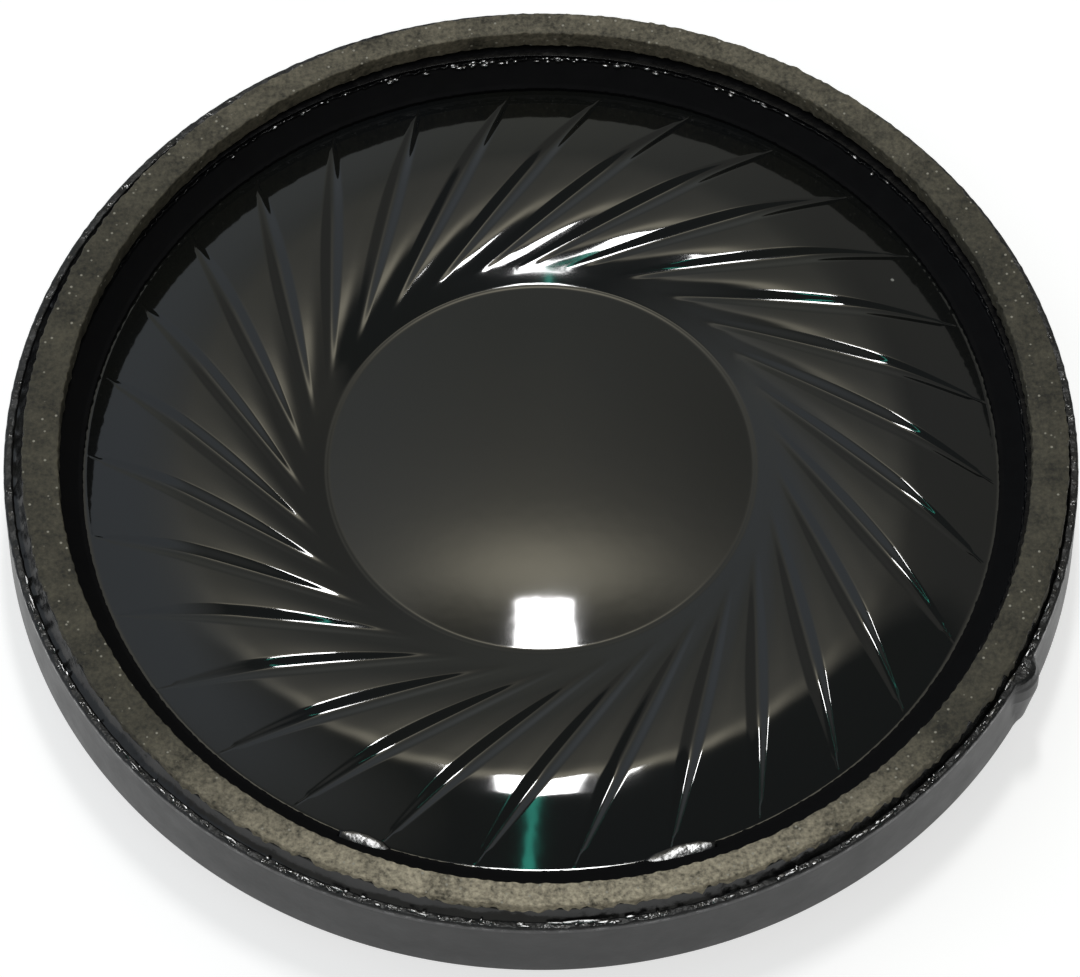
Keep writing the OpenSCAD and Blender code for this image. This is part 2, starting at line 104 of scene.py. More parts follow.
# %% Field
class Field:
    """One output socket of a material's tree, with arithmetic."""

    def __init__(self, tree, socket=None):
        self.tree = tree
        self.socket = socket

    def node(self, kind, inputs, output=0, **settings):
        """Adds a node with settings, then gives its sockets values or links by name or number."""
        made = self.tree.nodes.new("ShaderNode" + kind)
        for name, value in settings.items():
            setattr(made, name, value)
        for key, value in inputs.items():
            if isinstance(value, Field):
                self.tree.links.new(value.socket, made.inputs[key])
            else:
                made.inputs[key].default_value = value
        return Field(self.tree, made.outputs[output])

    def math(self, operation, *values):
        return self.node("Math", dict(enumerate(values)), operation=operation)

    def __add__(self, other):
        return self.math("ADD", self, other)

    def __sub__(self, other):
        return self.math("SUBTRACT", self, other)

    def __rsub__(self, other):
        return self.math("SUBTRACT", other, self)

    def __mul__(self, other):
        return self.math("MULTIPLY", self, other)

    def __truediv__(self, other):
        return self.math("DIVIDE", self, other)

    def above(self, low, high):
        """0 before low, 1 past high, and an even ramp between."""
        return self.node("MapRange", {"Value": self, "From Min": low, "From Max": high})

    def axis(self, name):
        """One coordinate of a vector."""
        return self.node("SeparateXYZ", {"Vector": self}, output=name)

    def noise(self, scale, detail=3, roughness=0.5):
        return self.node("TexNoise", {"Vector": self, "Scale": scale, "Detail": detail,
                                      "Roughness": roughness})

    def cells(self, scale):
        """Distance to the nearest of a set of scattered points."""
        return self.node("TexVoronoi", {"Vector": self, "Scale": scale})

    def stretched(self, scale):
        """The same coordinates, scaled by one factor for each axis."""
        return self.node("Mapping", {"Vector": self, "Scale": scale})

    def blend(self, low, high):
        """A colour that runs from low to high as this value runs from 0 to 1."""
        return self.node("Mix", {0: self, 6: low, 7: high}, output=2, data_type="RGBA")

    def bump(self, height, strength, metres):
        """A normal bent by a height field; called on any field of the tree."""
        return self.node("Bump", {"Height": height, "Strength": strength, "Distance": metres})


# %% Material
def rgb(r, g, b):
    """A colour with full alpha."""
    return (r, g, b, 1)


def material(name, paint, **constants):
    """A Principled material: constants on its own sockets, and links from paint(coordinates)."""
    made = bpy.data.materials.new(name)
    made.use_nodes = True
    tree = made.node_tree
    shader = tree.nodes["Principled BSDF"]
    for key, value in constants.items():
        shader.inputs[key.replace("_", " ")].default_value = value
    place = Field(tree).node("TexCoord", {}, output="Object")
    for key, value in paint(place).items():
        tree.links.new(value.socket, shader.inputs[key])
    print("material:", name)
    return made


# %% [markdown]
# ## Surfaces from numpy
# Almost every piece of a loudspeaker is turned round one axis, so one function makes a ring from
# a closed section and another makes a disc from rows of points. Both work on whole arrays.

# %% Meshes
def link(name, points, faces, finish):
    """Makes an object at the origin from arrays of points in millimetres and of faces."""
    mesh = bpy.data.meshes.new(name)
    mesh.from_pydata(points * MM, [], faces)
    mesh.polygons.foreach_set("use_smooth", np.ones(len(mesh.polygons), bool))
    mesh.materials.append(finish)
    mesh.update()
    made = bpy.data.objects.new(name, mesh)
    bpy.context.scene.collection.objects.link(made)
    print(name, "faces:", len(mesh.polygons))
    return made


def quads(rows, columns, wrap_rows):
    """Quads over a grid whose columns close on themselves, and whose rows may too."""
    row = np.arange(rows if wrap_rows else rows - 1)[:, None]
    column = np.arange(columns)[None, :]
    below = (row + 1) % rows * columns
    after = (column + 1) % columns
    corners = [row * columns + column, below + column, below + after, row * columns + after]
    return np.stack(np.broadcast_arrays(*corners), -1).reshape(-1, 4)


def ring(name, grid, finish):
    """A closed ring: grid is section by angle by xyz, its section running outwards over the top."""
    rows, columns, _ = grid.shape
    return link(name, grid.reshape(-1, 3), quads(rows, columns, True).tolist(), finish)


def disc_faces(rows, columns):
    """A disc's quads, and the triangles that close it at the two poles that follow its grid."""
    first = rows * columns
    column = np.arange(columns)
    after = (column + 1) % columns
    last = (rows - 1) * columns
    top = np.stack([column, after, np.full(columns, first)], 1)
    base = np.stack([last + after, last + column, np.full(columns, first + 1)], 1)
    return quads(rows, columns, False), np.concatenate([top, base])


def disc(name, grid, finish):
    """A closed disc: grid runs from the middle out over the top and back under, with both poles."""
    faces, ends = disc_faces(*grid.shape[:2])
    poles = grid[[0, -1]].mean(1)
    points = np.concatenate([grid.reshape(-1, 3), poles])
    return link(name, points, faces.tolist() + ends.tolist(), finish)


def mesh_points(piece):
    """A mesh's points in millimetres."""
    points = np.zeros(len(piece.data.vertices) * 3, np.float32)
    piece.data.vertices.foreach_get("co", points)
    return points.reshape(-1, 3) / MM


# %% [markdown]
# A section is a list of corners (radius, height, size of its rounding). Real edges aren't exact,
# so a closed random wave can move the points of a turned section in and out or up and down. A
# small solid's outline starts at CORE_R from its own axis, and the two poles close it.

# %% Turned sections
RIPPLE_GAIN = 1.4
CORE_R = 0.1


def round_angles(count):
    """Evenly spaced directions, once round."""
    return np.arange(count) * 2 * np.pi / count


def ripple(angle, seed, low, high, waves=24):
    """A random closed wave of about unit size: sines of whole frequencies from low to high."""
    rng = np.random.default_rng(seed)
    frequency = rng.integers(low, high + 1, waves)
    phase = rng.uniform(0, 2 * np.pi, waves)
    size = rng.normal(0, 1, waves) / np.sqrt(waves)
    return (size * np.sin(angle[..., None] * frequency + phase)).sum(-1) * RIPPLE_GAIN


def rounded(corners, steps=4):
    """A closed outline from (r, z, size) corners: each becomes a quadratic curve of that size."""
    p = np.array(corners, float)
    at = p[:, :2]
    t = np.linspace(0, 1, steps + 1)[None, :, None]

    def towards(other):
        """The point that lies the corner's size along the way to its neighbour."""
        way = other - at
        length = np.linalg.norm(way, axis=1, keepdims=True)
        return at + way * np.minimum(p[:, 2:3] / length, 0.5)

    start = towards(np.roll(at, 1, 0))[:, None]
    end = towards(np.roll(at, -1, 0))[:, None]
    curve = (1 - t) ** 2 * start + 2 * t * (1 - t) * at[:, None] + t ** 2 * end
    return curve.reshape(-1, 2)


def turned(section, angles, swell=None):
    """Points of a section (r, z) turned round Z; swell(r, z, angle) may move them first."""
    r = section[:, 0:1] + 0 * angles
    z = section[:, 1:2] + 0 * angles
    if swell:
        r, z = swell(r, z, angles)
    return np.stack([r * np.cos(angles), r * np.sin(angles), z], -1)


def lathe(name, outline, place, finish, columns=64):
    """A small turned solid about an upright axis at a place; the outline runs over the top."""
    grid = turned(np.array(outline, float), round_angles(columns))
    return disc(name, grid + place, finish)


def polar(angle, r, z):
    """A place in millimetres from a direction in degrees, a radius and a height."""
    turn = math.radians(angle)
    return np.array([r * math.cos(turn), r * math.sin(turn), z])


# %% [markdown]
# ## The film
# Dome, cone and surround are one pressed film. Across its radius it is a cap, then a low roll,
# steep at the crease and running out into a cone, then a flat rim. Thirty straight grooves,
# tangent to a circle just inside the crease, make the roll stiff against twisting and soft along
# the coil's travel. The surface is a function of the radius and of the place across one groove's
# pitch, so the mesh's columns run along the grooves and stay dense inside them.
#
# The crease and the roll's crown rise above the clamped edge, and the dome above the crease.
# ROLL_IN is the distance from crease to crown, and INNER_POWER says how late the inner flank
# turns down.

# %% Film sizes
film_low, film_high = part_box("diaphragm")
coil_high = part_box("voice_coil")[1]
FILM_T = 0.1
FLAT_RIM = 1.3
COIL_WALL = 0.44
FILM_R = film_high.x / MM
FLEX_R = FILM_R - FLAT_RIM
CREASE_R = coil_high.x / MM - COIL_WALL / 2
EDGE_Z = film_low.z / MM + FILM_T
CREASE_RISE = 0.2
DOME_RISE = 0.6
DOME_REACH = 0.5
ROLL_RISE = 0.85
ROLL_IN = 5.2
INNER_POWER = 2.5
FLANK_BEND = 0.75
FLANK_END = 1.1
CREASE_FILLET = 0.03
CREASE_RIDGE = 0.014
RIDGE_W = 0.07
crease_z = EDGE_Z + CREASE_RISE
crown_r = CREASE_R + ROLL_IN
crown_z = EDGE_Z + ROLL_RISE
print("film radius", round(FILM_R, 3), "crease", round(CREASE_R, 3), "edge", round(EDGE_Z, 3))

# %% [markdown]
# A groove starts and ends at set distances from the crease and the rim. GROOVE_TAPER is its width
# at the ends as a share of the middle's, and a faint, narrow tail runs on from it to the rim.

# %% Groove sizes
GROOVES = 30
GROOVE_W = 0.9
GROOVE_TAPER = 0.4
GROOVE_DEPTH = 0.12
GROOVE_START = 0.8
GROOVE_END = 0.7
GROOVE_PHASE = math.radians(11.1)
TANGENT_R = 7.9
TAIL_W = 0.14
TAIL_DEPTH = 0.03
TAIL_IN = 3
TAIL_OUT = 0.5
FACET_BULGE = 0.042
BULGE_GAIN = 9.5
groove_in = CREASE_R + GROOVE_START
groove_out = FLEX_R - GROOVE_END
print("grooves:", GROOVES, "from radius", round(groove_in, 2), "to", round(groove_out, 2))


# %% Film section
def ease(t):
    """0 to 1 with level ends."""
    t = np.clip(t, 0, 1)
    return t * t * (3 - 2 * t)


def soft_max(a, b, width):
    """The larger of two heights, with the corner between them rounded over about that width."""
    return (a + b + np.sqrt((a - b) ** 2 + width ** 2)) / 2


def cap(r):
    """The dome: the part of a sphere that rises DOME_RISE above the crease."""
    radius = (CREASE_R ** 2 + DOME_RISE ** 2) / (2 * DOME_RISE)
    return crease_z + DOME_RISE - radius + np.sqrt(radius ** 2 - r ** 2)


def flank(u):
    """The outer flank's fall, 0 at the crown and 1 at its foot: a bow that becomes a cone."""
    u = np.clip(u, 0, FLANK_END)
    return (1 + FLANK_BEND) * u ** 2 - FLANK_BEND * u ** 3


def film_height(r):
    """The film's top by radius: the higher of dome and roll, and the flat rim past the flank."""
    inner = crown_z - (crown_z - crease_z) * np.abs((crown_r - r) / ROLL_IN) ** INNER_POWER
    outer = crown_z - ROLL_RISE * flank((r - crown_r) / (FLEX_R - crown_r))
    roll = np.where(r < crown_r, inner, np.maximum(outer, EDGE_Z))
    dome = np.where(r < CREASE_R + DOME_REACH, cap(r), 0)
    ridge = CREASE_RIDGE * np.exp(-((r - CREASE_R) / RIDGE_W) ** 2)
    return soft_max(dome, roll, CREASE_FILLET) + ridge


# %% Film grooves
def groove_line(r):
    """The direction of the groove's middle at each radius: a straight line tangent to a circle."""
    q = np.clip(r, groove_in, FLEX_R)
    return GROOVE_PHASE + math.acos(TANGENT_R / groove_out) - np.arccos(TANGENT_R / q)


def groove_along(r):
    """How far along a groove a radius lies, from 0 at its inner end to 1 at its outer end."""
    return np.clip((r - groove_in) / (groove_out - groove_in), 0, 1)


def groove_half(r):
    """Half the groove's width, as an angle seen from the middle. Grooves are lens-shaped."""
    q = np.clip(r, groove_in, FLEX_R)
    lens = GROOVE_TAPER + (1 - GROOVE_TAPER) * np.sin(np.pi * groove_along(r))
    width = np.where(r > groove_out, TAIL_W, GROOVE_W * lens)
    return np.arcsin(width / 2 / q) / np.sqrt(1 - (TANGENT_R / q) ** 2)


def groove_depth(r):
    """The groove's depth by radius: an arch, 4 * a * (1 - a), on a faint line that runs past it."""
    a = groove_along(r)
    arch = 4 * a * (1 - a)
    tail = TAIL_DEPTH * ease((r - groove_in) / TAIL_IN) * ease((FLEX_R - r) / TAIL_OUT)
    return (GROOVE_DEPTH - TAIL_DEPTH) * arch + tail


def facet_bulge(r):
    """How far a facet swells between two grooves: a * (1 - a) ** 3, scaled to peak at its size."""
    a = groove_along(r)
    return FACET_BULGE * BULGE_GAIN * a * (1 - a) ** 3


# %% Film surface
GROOVE_MARGIN = 1.25
GROOVE_COLUMNS = 25
FACET_COLUMNS = 13
RING_SPANS = [(0.4, CREASE_R - 0.3), (CREASE_R - 0.2, CREASE_R + 0.2),
              (CREASE_R + 0.35, FLEX_R - 0.3), (FLEX_R - 0.2, FLEX_R + 0.2)]
TOP_RINGS = (8, 16, 40, 8)
UNDER_RINGS = (3, 2, 9, 2)


def film_rows(r, down):
    """Points of the film at each radius r, lowered by down: radius by column by xyz."""
    pitch = 2 * np.pi / GROOVES
    across = np.linspace(-GROOVE_MARGIN, GROOVE_MARGIN, GROOVE_COLUMNS)[None, :]
    facet = np.linspace(0, 1, FACET_COLUMNS)[None, 1:-1]
    half = groove_half(r)[:, None]
    between = GROOVE_MARGIN * half + facet * (pitch - 2 * GROOVE_MARGIN * half)
    turn = np.concatenate([across * half, between], 1)
    dip = np.concatenate([np.clip(1 - across ** 2, 0, 1) ** 2, 0 * facet], 1)
    height = film_height(r)[:, None] - down - groove_depth(r)[:, None] * dip
    height = height + facet_bulge(r)[:, None] * np.sin(np.pi * (turn / pitch)) ** 2
    start = pitch * np.arange(GROOVES)[None, :, None] + groove_line(r)[:, None, None]
    angle = (start + turn[:, None, :]).reshape(len(r), -1)
    z = np.broadcast_to(height[:, None, :], (len(r), GROOVES, turn.shape[1])).reshape(len(r), -1)
    return np.stack([r[:, None] * np.cos(angle), r[:, None] * np.sin(angle), z], -1)


def film_radii(counts):
    """Radii of the film's rings: counts over the dome, crease, grooves and edge, then the rim."""
    rings = [np.linspace(low, high, count) for (low, high), count in zip(RING_SPANS, counts)]
    return np.concatenate(rings + [[FILM_R]])


# %% [markdown]
# The film is smoke-tinted and very glossy, so its colour hardly matters and its reflections do
# everything. A faint waviness breaks up the edges of the highlights, and a few specks of dust
# lie on it.

# %% Film finish and piece
def film_paint(place):
    """A dark gloss with a wandering tint, specks of dust and two sizes of faint waves."""
    tint = place.noise(160, 2).blend(rgb(0.007, 0.0072, 0.005), rgb(0.006, 0.0068, 0.0085))
    dust = place.cells(260).above(0.022, 0.012)
    waves = place.noise(350, 2) * 0.6 + place.noise(1500, 1) * 0.12
    return {"Base Color": dust.blend(tint, rgb(0.3, 0.3, 0.28)),
            "Roughness": place.noise(500, 2) * 0.05 + 0.03,
            "Normal": place.bump(waves, 0.4, 0.00002)}


film_finish = material("smoke_film", film_paint, IOR=1.58)
film_top = film_rows(film_radii(TOP_RINGS), 0)
film_under = film_rows(film_radii(UNDER_RINGS)[::-1], FILM_T)
film = disc("pressed_film", np.concatenate([film_top, film_under]), film_finish)
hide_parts("diaphragm")


# %% [markdown]
# The clamped rim stays still while the dome travels with the coil. Here the film is only baked in
# place; weights for a blend between the two bodies are worked out but not used.

# %% Film placement and weights
def blend_by(piece, weight):
    """Bakes a piece's placement into its points; its weights, one for each point, are not used."""
    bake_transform(piece)


film_points = mesh_points(film)
film_distance = np.hypot(film_points[:, 0], film_points[:, 1])
film_weight = ease((FLEX_R - film_distance) / (FLEX_R - CREASE_R))
blend_by(film, film_weight)
print("film points that travel whole:", int((film_weight == 1).sum()), "of", len(film_weight))


# %% [markdown]
# ## The card gasket
# A ring of pressed card lies on the basket and the clamp ring. Its faces are fibrous and its
# edges are torn a little by the punch: waves of CARD_FRAY move them in and out, and waves of
# CARD_LIFT move the face up and down. CARD_WORN is how far the inner edge is worn back.

# %% Card sizes
card_low, card_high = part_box("front_gasket")
card_middle = (np.array(card_low) + np.array(card_high)) / 2 / MM
CARD_R = (card_high.x - card_low.x) / 2 / MM
CARD_W = 1.35
SEAT_Z = card_low.z / MM
FRONT_Z = card_high.z / MM
CARD_TURNS = 900
CARD_FRAY = 0.022
CARD_LIFT = 0.012
CARD_WORN = 0.42
FRAY_WAVES = (20, 300)
LIFT_WAVES = (5, 120)
LIFT_FROM = 0.2
print("card radius", round(CARD_R, 3), "off centre by", np.round(card_middle[:2], 3))


# %% Card gasket
def card_paint(place):
    """Fibres over blotches with light flecks; painted light makes the near side paler."""
    fibre = place.noise(5200, 5, 0.65)
    blotch = place.noise(700, 4, 0.6)
    y = place.axis("Y")
    # Painted light: near makes the card paler towards the camera, and a little paler at the far
    # side.
    near = y.above(-0.012, -0.019) + y.above(0.01, 0.019) * 0.25
    tone = (fibre * 0.75 + blotch * 0.5 + near * 0.03).above(0.45, 0.8)
    dark = near.blend(rgb(0.014, 0.013, 0.008), rgb(0.03, 0.026, 0.015))
    pale = near.blend(rgb(0.1, 0.09, 0.062), rgb(0.6, 0.53, 0.39))
    fleck = place.cells(2600).above(0.16, 0.08)
    return {"Base Color": fleck.blend(tone.blend(dark, pale), rgb(0.36, 0.34, 0.28)),
            "Roughness": fibre * 0.3 + 0.6,
            "Normal": place.bump(fibre * 0.8 + blotch, 0.8, 0.00008)}


def card_swell(r, z, angle):
    """Frays the card's edges with random waves; near and far its inner edge is worn back."""
    inner = r < CARD_R - CARD_W / 2
    fray = np.where(inner, ripple(angle, 1, *FRAY_WAVES), ripple(angle, 2, *FRAY_WAVES))
    worn = CARD_WORN * np.sin(angle) ** 2 * inner
    lift = CARD_LIFT * ripple(angle, 9, *LIFT_WAVES) * (z > SEAT_Z + LIFT_FROM)
    return r + CARD_FRAY * fray + worn, z + lift


card_finish = material("pressed_card", card_paint)
card_section = rounded([(CARD_R - CARD_W, SEAT_Z, 0.05), (CARD_R - CARD_W, FRONT_Z, 0.07),
                        (CARD_R, FRONT_Z, 0.07), (CARD_R, SEAT_Z, 0.05)])
card_grid = turned(card_section, round_angles(CARD_TURNS), card_swell)
gasket = ring("card_gasket", card_grid + [card_middle[0], card_middle[1], 0], card_finish)
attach(gasket, "root")
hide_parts("front_gasket")

# %% [markdown]
# ## Glue round the card
# Black glue fills the gap between the card's edge and the basket's lip. It climbs the card in a
# hollow curve, and because the card was laid off centre the fillet is wide on one side and thin
# on the other. It is BEAD_H high at the card and BEAD_FOOT at the lip, and BEAD_BITE is how far
# it reaches into the card's frayed edge.

# %% Glue fillet sizes
LIP_R = 19.7
LIP_GAP = 0.01
BEAD_BITE = 0.04
BEAD_FOOT = 0.06
BEAD_H = 0.62
BEAD_POWER = 1.7
BEAD_UNEVEN = 0.09
BEAD_LUMPS = 0.012
UNEVEN_WAVES = (5, 60)
LUMP_WAVES = (80, 260)
BEAD_TURNS = 720
BEAD_ROWS = 10
print("glue height", BEAD_H, "from the card to the lip at radius", LIP_R)


# %% Glue fillet
def glue_paint(place):
    """Black glue, glossy and lumpy, with greyer patches."""
    lumps = place.noise(500, 3)
    patches = place.noise(900, 3).above(0.35, 0.75)
    return {"Base Color": patches.blend(rgb(0.003, 0.003, 0.004), rgb(0.014, 0.014, 0.013)),
            "Roughness": lumps * 0.25 + 0.06,
            "Normal": place.bump(lumps + place.noise(2500, 2) * 0.25, 0.7, 0.0001)}


def glue_fillet(angle, across):
    """From the card's edge (0) to the lip (1): a height that falls as a power of what is left."""
    edge = CARD_R + card_middle[0] * np.cos(angle) + card_middle[1] * np.sin(angle) - BEAD_BITE
    r = edge + (LIP_R - LIP_GAP - edge) * across
    rise = BEAD_H * (1 + BEAD_UNEVEN * ripple(angle, 3, *UNEVEN_WAVES))
    z = SEAT_Z + BEAD_FOOT + (rise - BEAD_FOOT) * (1 - across) ** BEAD_POWER
    return r, z + BEAD_LUMPS * ripple(angle, 4, *LUMP_WAVES) * np.sin(np.pi * across)


glue_finish = material("black_glue", glue_paint)
bead_turn = round_angles(BEAD_TURNS)[None, :]
bead_r, bead_z = glue_fillet(bead_turn, np.linspace(0, 1, BEAD_ROWS)[:, None])
base_r, base_z = glue_fillet(bead_turn, np.array([1, 0])[:, None])
bead_r = np.concatenate([bead_r, base_r])
bead_z = np.concatenate([bead_z, SEAT_Z + 0 * base_z])
bead_grid = np.stack([bead_r * np.cos(bead_turn), bead_r * np.sin(bead_turn), bead_z], -1)
bead = ring("glue_fillet", bead_grid, glue_finish)
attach(bead, "root")
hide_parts("gasket_adhesive")

# %% [markdown]
# ## The clamp ring
# The dark ring under the card presses the film's rim down. Its inner face slopes up from a low
# foot to a narrow ledge, and both edges are rough. Here and on the basket's lip a REACH is how
# far the roughness spreads, ROUGH its size in and out, and LIFT its size up and down.

# %% Clamp ring sizes
clamp_low, clamp_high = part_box("clamp_ring")
CLAMP_R = clamp_high.x / MM
CLAMP_Z = clamp_low.z / MM
CLAMP_TURNS = 900
FOOT_R = FLEX_R + 0.1
FOOT_Z = CLAMP_Z + 0.15
FOOT_REACH = 0.08
FOOT_ROUGH = 0.012
FACE_R = CARD_R - CARD_W
LEDGE_Z = SEAT_Z - 0.15
LEDGE_REACH = 0.1
LEDGE_ROUGH = 0.035
LEDGE_LIFT = 0.03
LEDGE_WAVES = (40, 420)
LEDGE_LIFT_WAVES = (60, 420)
print("clamp ring from radius", round(FOOT_R, 3), "to", round(CLAMP_R, 3))


# %% Clamp ring
def ring_paint(place):
    """Dull, grained plastic whose ledge is wet with glue and so is smoother."""
    grain = place.noise(1300, 4)
    ledge = place.axis("Z").above((SEAT_Z - 0.3) * MM, (SEAT_Z - 0.2) * MM)
    return {"Roughness": 0.65 - ledge * 0.5 + grain * 0.2,
            "Normal": place.bump(grain + place.noise(400, 2) * 0.8, 0.5, 0.00006)}


def clamp_swell(r, z, angle):
    """Roughens the ledge and the foot's edge; flat faces keep their places."""
    ledge = np.exp(-((r - FACE_R) / LEDGE_REACH) ** 2 - ((z - LEDGE_Z) / LEDGE_REACH) ** 2)
    foot = np.exp(-((r - FOOT_R) / FOOT_REACH) ** 2 - ((z - FOOT_Z) / FOOT_REACH) ** 2)
    rough = ripple(angle, 5, *LEDGE_WAVES)
    r = r - ledge * LEDGE_ROUGH * rough - foot * FOOT_ROUGH * rough
    return r, z + ledge * LEDGE_LIFT * ripple(angle, 6, *LEDGE_LIFT_WAVES)


ring_finish = material("ring_plastic", ring_paint, Base_Color=rgb(0.0025, 0.0025, 0.003),
                       Specular_IOR_Level=0.09)
foot_rows = [(FOOT_R, CLAMP_Z, 0.02), (FOOT_R, FOOT_Z, 0.04), (FOOT_R + 0.15, FOOT_Z, 0.06)]
ledge_rows = [(FACE_R - 0.08, LEDGE_Z - 0.1, 0.06), (FACE_R - 0.06, LEDGE_Z, 0.04),
              (FACE_R, LEDGE_Z, 0.02), (FACE_R, SEAT_Z, 0.02)]
back_rows = [(CLAMP_R, SEAT_Z, 0.05), (CLAMP_R, CLAMP_Z, 0.02)]
clamp_section = rounded(foot_rows + ledge_rows + back_rows)
clamp_grid = turned(clamp_section, round_angles(CLAMP_TURNS), clamp_swell)
clamp = ring("clamp_moulding", clamp_grid, ring_finish)
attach(clamp, "root")
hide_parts("clamp_ring")

# %% [markdown]
# ## The basket
# One moulding carries everything: the outer wall with its thin lip, the ledge for the film, the
# vented floor and the collar round the magnet. The key lug isn't a separate block but a swelling
# of the outer wall, so the wall's radius is the softened maximum of the rim's circle and the
# lug's own circle. That circle grows from LUG_FOOT_R at the bottom to LUG_R at LUG_CONE_Z, and
# shrinks by LUG_TOP_IN over the topmost LUG_TOP_H.

# %% Basket sizes
basket_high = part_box("basket")[1]
pot_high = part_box("magnet_pot")[1]
board_low, board_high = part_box("terminal_board")
RIM_R = basket_high.x / MM
LIP_Z = basket_high.z / MM
UNDER_Z = LIP_Z - 3.2
REAR_Z = board_high.z / MM
FLOOR_Z = REAR_Z + 0.8
BORE_R = pot_high.x / MM + 0.05
COLLAR_R = BORE_R + 0.95
COLLAR_Z = FLOOR_Z + 0.8
REAR_R = 17.3
CAVITY_R = 16.4
SHELF_R = 16.9
SHELF_Z = film_low.z / MM - 0.05
RECESS_R = 19.05
LIP_REACH = 0.07
LIP_ROUGH = 0.012
LIP_LIFT = 0.014
LIP_WAVES = (90, 340)
LIP_LIFT_WAVES = (60, 340)
WALL_BAND = 0.2
WALL_EASE = 0.15
LUG_ANGLE = math.radians(-27.5)
LUG_SPAN = 0.09
LUG_MIDDLE = 19.48
LUG_R = 1
LUG_FOOT_R = 0.6
LUG_CONE_Z = LIP_Z - 1.1
LUG_TOP_H = 0.35
LUG_TOP_IN = 0.3
LUG_FILLET = 0.12
LUG_SIDE = 0.2
BASKET_TURNS = 540
LUG_TURNS = 90
print("rim radius", round(RIM_R, 3), "lip height", round(LIP_Z, 3), "floor", round(FLOOR_Z, 3))


# %% Basket finish
def basket_paint(place):
    """Satin moulded plastic, finely grained; its lip is dented and glossy in patches."""
    grain = place.noise(900, 5, 0.6)
    lip = place.axis("Z").above((LIP_Z - 0.3) * MM, (LIP_Z - 0.12) * MM)
    shine = place.noise(1700, 3).above(0.5, 0.58) * lip
    dents = place.noise(2600, 3) * lip
    cloudy = place.noise(150, 3)
    return {"Base Color": cloudy.blend(rgb(0.013, 0.0132, 0.014), rgb(0.02, 0.0202, 0.021)),
            "Roughness": grain * 0.2 + 0.32 - shine * 0.3,
            "Normal": place.bump(grain + place.noise(200, 2) * 0.7 + dents * 7, 0.35, 0.00005)}


basket_finish = material("basket_plastic", basket_paint, Specular_IOR_Level=0.38)


# %% Basket wall
def lug_reach(angle, z):
    """How far out the lug's circle lies in a direction: the far root of the circle's equation."""
    turn = (angle - LUG_ANGLE + np.pi) % (2 * np.pi) - np.pi
    share = np.clip((z - UNDER_Z) / (LUG_CONE_Z - UNDER_Z), 0, 1)
    top = np.clip((z - LIP_Z + LUG_TOP_H) / LUG_TOP_H, 0, 1)
    size = LUG_FOOT_R + (LUG_R - LUG_FOOT_R) * share - LUG_TOP_IN * top ** 2
    side = LUG_MIDDLE * np.sin(turn)
    near = (np.abs(turn) < LUG_SIDE) & (np.abs(side) < size)
    reach = LUG_MIDDLE * np.cos(turn) + np.sqrt(np.clip(size ** 2 - side ** 2, 0, None))
    return np.where(near, reach, RIM_R - 1)


def basket_swell(r, z, angle):
    """Adds the lug to the outer wall and a fine roughness to the lip's edge."""
    outer = ease((r - RIM_R + WALL_BAND) / WALL_EASE)
    r = r + outer * (soft_max(r, lug_reach(angle, z), LUG_FILLET) - r)
    lip = np.exp(-((z - LIP_Z) / LIP_REACH) ** 2) * (r > LIP_R - 0.1)
    r = r + lip * LIP_ROUGH * ripple(angle, 7, *LIP_WAVES)
    return r, z + lip * LIP_LIFT * ripple(angle, 8, *LIP_LIFT_WAVES)


floor_rows = [(BORE_R, REAR_Z, 0.05), (BORE_R, COLLAR_Z, 0.05), (COLLAR_R, COLLAR_Z, 0.08),
              (COLLAR_R, FLOOR_Z, 0.12), (CAVITY_R, FLOOR_Z, 0.15)]
seat_rows = [(SHELF_R, SHELF_Z, 0.05), (RECESS_R, SHELF_Z, 0.02), (RECESS_R, SEAT_Z, 0.04),
             (LIP_R, SEAT_Z, 0.02)]
lip_rows = [(LIP_R, LIP_Z, 0.05), (RIM_R, LIP_Z, 0.1)]
wall_rows = [(RIM_R, LIP_Z - 0.45, 0.03), (RIM_R, LIP_Z - 0.8, 0.03), (RIM_R, LUG_CONE_Z, 0.03),
             (RIM_R, UNDER_Z + 1, 0.03)]
rear_rows = [(RIM_R, UNDER_Z, 0.15), (REAR_R, UNDER_Z, 0.08), (REAR_R, REAR_Z, 0.12)]
basket_section = rounded(floor_rows + seat_rows + lip_rows + wall_rows + rear_rows)
lug_turns = LUG_ANGLE % (2 * np.pi) + np.linspace(-LUG_SPAN, LUG_SPAN, LUG_TURNS)
basket_turns = np.unique(np.concatenate([round_angles(BASKET_TURNS), lug_turns]))
basket_grid = turned(basket_section, basket_turns, basket_swell)
basket = ring("moulded_basket", basket_grid, basket_finish)


# %% [markdown]
# The vents and the lead holes are drilled with cylinders, and the rivets that hold the terminal
# board are joined on, so the basket stays one piece. Directions are in degrees.

# %% Hole and rivet sizes
TERMINALS = 90
LEAD_TURN = 8.5
RIVET_TURN = 17.5
RIVET_R = 14.3
BOARD_Z = board_low.z / MM
VENTS = 8
VENT_STEP = 40
VENT_HALF = 1.1
VENT_R = (COLLAR_R + CAVITY_R) / 2
HOLE_R = 15.85
HOLE_HALF = 0.45
DRILL_HALF = 1
RIVET = [(0.3, REAR_Z + 0.1), (0.5, REAR_Z + 0.1), (0.5, BOARD_Z), (0.83, BOARD_Z),
         (0.85, BOARD_Z - 0.04), (0.8, BOARD_Z - 0.14), (0.62, BOARD_Z - 0.23),
         (0.3, BOARD_Z - 0.28)]
LEVEL = 0.999
print("vents:", VENTS, "at radius", round(VENT_R, 2), "lead holes at radius", HOLE_R)


